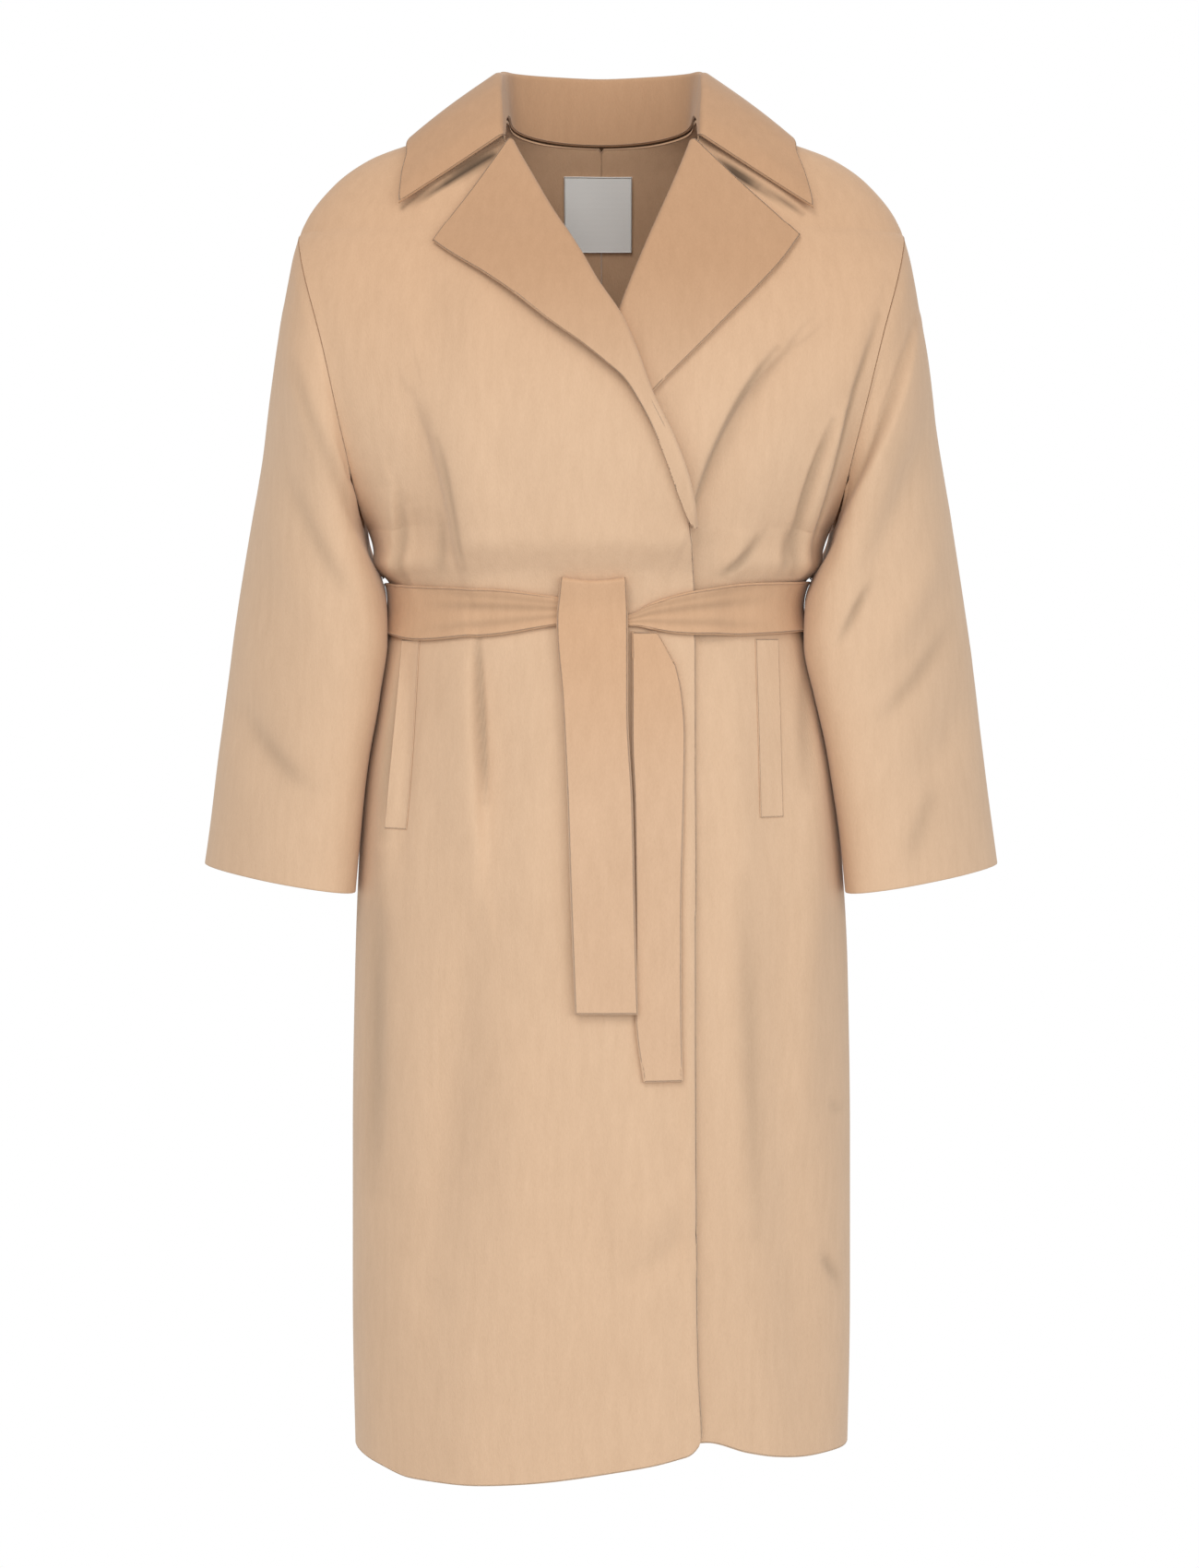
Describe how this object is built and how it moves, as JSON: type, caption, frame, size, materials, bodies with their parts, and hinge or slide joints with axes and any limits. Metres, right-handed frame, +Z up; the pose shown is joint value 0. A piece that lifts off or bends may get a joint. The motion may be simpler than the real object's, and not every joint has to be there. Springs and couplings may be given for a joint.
{
  "type": "belted wrap coat",
  "caption": "Long wool wrap coat with notched lapels, dropped shoulders, wide sleeves and a knotted self belt, filled out hollow as if worn, open at neck, cuffs and hem",
  "frame": {"origin": "inside the neck, level with the back neck seam, midway between the side seams; it is where the wearer's neck and shoulders hold the coat", "axes": "the coat faces -Y, the wearer's left is +X, +Z is up"},
  "size_m": [0.6964, 0.3032, 1.2018],
  "materials": {
    "coat_cloth": "camel double-faced wool with a short brushed nap",
    "lapel_cloth": "the same wool, pressed at the edges",
    "belt_cloth": "the same wool in two layers",
    "label": "off-white satin tape, blank"
  },
  "bodies": {
    "root": {"front_over": "coat_cloth", "front_over_skirt": "coat_cloth", "front_under": "coat_cloth", "front_under_skirt": "coat_cloth", "back_left": "coat_cloth", "back_left_skirt": "coat_cloth", "back_right": "coat_cloth", "back_right_skirt": "coat_cloth", "sleeve_left": "coat_cloth", "sleeve_left_lower": "coat_cloth", "sleeve_right": "coat_cloth", "sleeve_right_lower": "coat_cloth", "lapel_over": "lapel_cloth", "lapel_under": "lapel_cloth", "collar": "lapel_cloth", "belt_waist": "belt_cloth", "belt_tail_front": "belt_cloth", "belt_tail_back": "belt_cloth", "belt_loop_left": "belt_cloth", "belt_loop_right": "belt_cloth", "pocket_welt_left": "coat_cloth", "pocket_welt_right": "coat_cloth", "neck_label": "label"}
  },
  "joints": []
}
